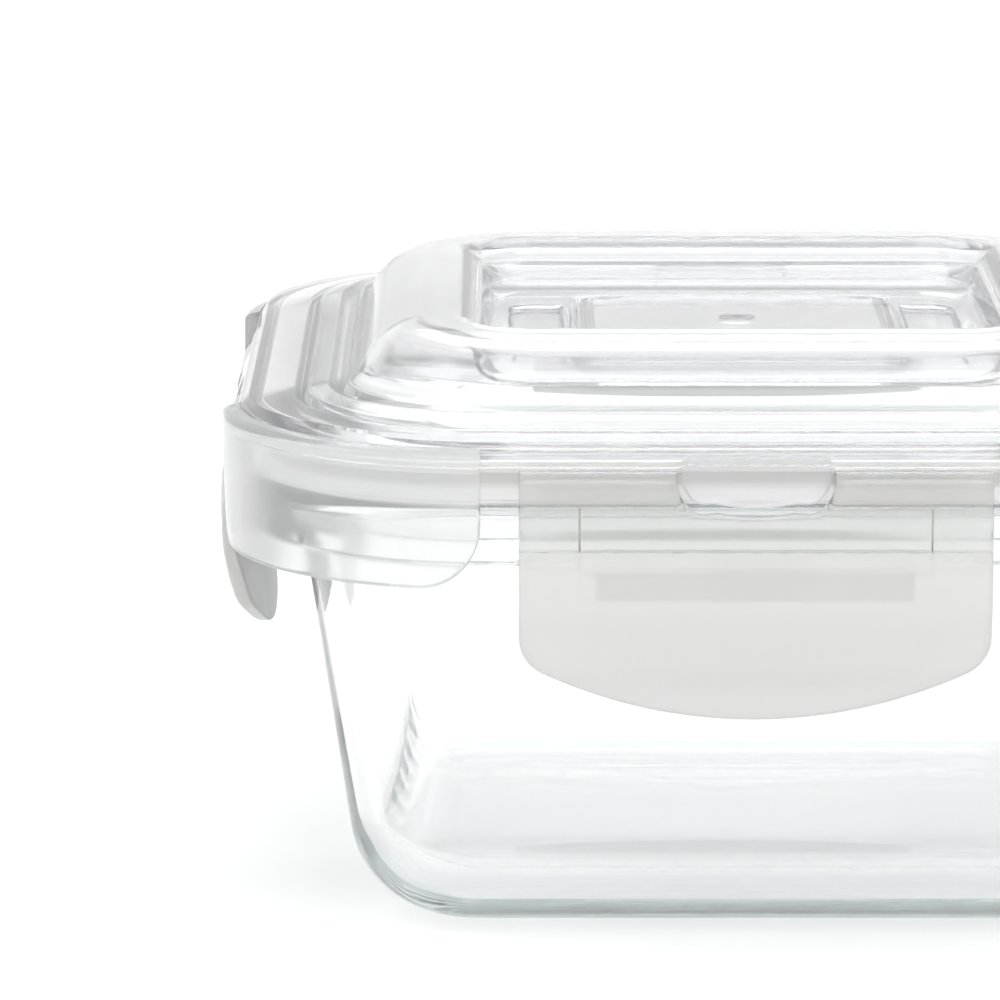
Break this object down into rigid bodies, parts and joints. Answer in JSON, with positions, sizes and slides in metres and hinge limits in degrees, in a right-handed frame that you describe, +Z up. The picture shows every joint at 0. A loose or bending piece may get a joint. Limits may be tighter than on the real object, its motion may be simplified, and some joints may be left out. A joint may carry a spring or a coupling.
{
  "type": "snap lid food container",
  "caption": "Square glass food container with a clear snap lid: tapered bowl, gasket, corner guards and hinged flaps that catch under the rim.",
  "frame": {"origin": "middle of the container's footprint, on the surface it stands on", "axes": "+Z up out of the bowl; the front flap faces -Y and the right flap +X"},
  "size_m": [0.1248, 0.1248, 0.07],
  "materials": {
    "glass": "clear pressed glass, polished",
    "silicone": "translucent white silicone, satin",
    "clear_plastic": "clear polypropylene, glossy",
    "guard_plastic": "clear polypropylene with a fine frosted texture",
    "flap_plastic": "milky polypropylene, satin"
  },
  "bodies": {
    "bowl": {"glass_bowl": "glass"},
    "lid": {"lid_cover": "clear_plastic", "silicone_gasket": "silicone", "guard_front_left": "guard_plastic", "guard_front_right": "guard_plastic", "guard_rear_right": "guard_plastic", "guard_rear_left": "guard_plastic", "hinge_front": "clear_plastic", "hinge_right": "clear_plastic", "hinge_rear": "clear_plastic", "hinge_left": "clear_plastic"},
    "front_flap": {"flap_front": "flap_plastic", "catch_front": "flap_plastic"},
    "right_flap": {"flap_right": "flap_plastic", "catch_right": "flap_plastic"},
    "rear_flap": {"flap_rear": "flap_plastic", "catch_rear": "flap_plastic"},
    "left_flap": {"flap_left": "flap_plastic", "catch_left": "flap_plastic"}
  },
  "joints": [
    {"name": "lid_lift", "type": "slide", "parent": "bowl", "child": "lid", "axis": [0, 0, 1], "range_m": [0, 0.075]},
    {"name": "front_flap_hinge", "type": "hinge", "parent": "lid", "child": "front_flap", "pos_m": [0, -0.0594, 0.0583], "axis": [-1, 0, 0], "range_deg": [0, 135], "deforming": ["hinge_front"]},
    {"name": "right_flap_hinge", "type": "hinge", "parent": "lid", "child": "right_flap", "pos_m": [0.0594, 0, 0.0583], "axis": [0, -1, 0], "range_deg": [0, 135], "deforming": ["hinge_right"]},
    {"name": "rear_flap_hinge", "type": "hinge", "parent": "lid", "child": "rear_flap", "pos_m": [0, 0.0594, 0.0583], "axis": [1, 0, 0], "range_deg": [0, 135], "deforming": ["hinge_rear"]},
    {"name": "left_flap_hinge", "type": "hinge", "parent": "lid", "child": "left_flap", "pos_m": [-0.0594, 0, 0.0583], "axis": [0, 1, 0], "range_deg": [0, 135], "deforming": ["hinge_left"]}
  ]
}
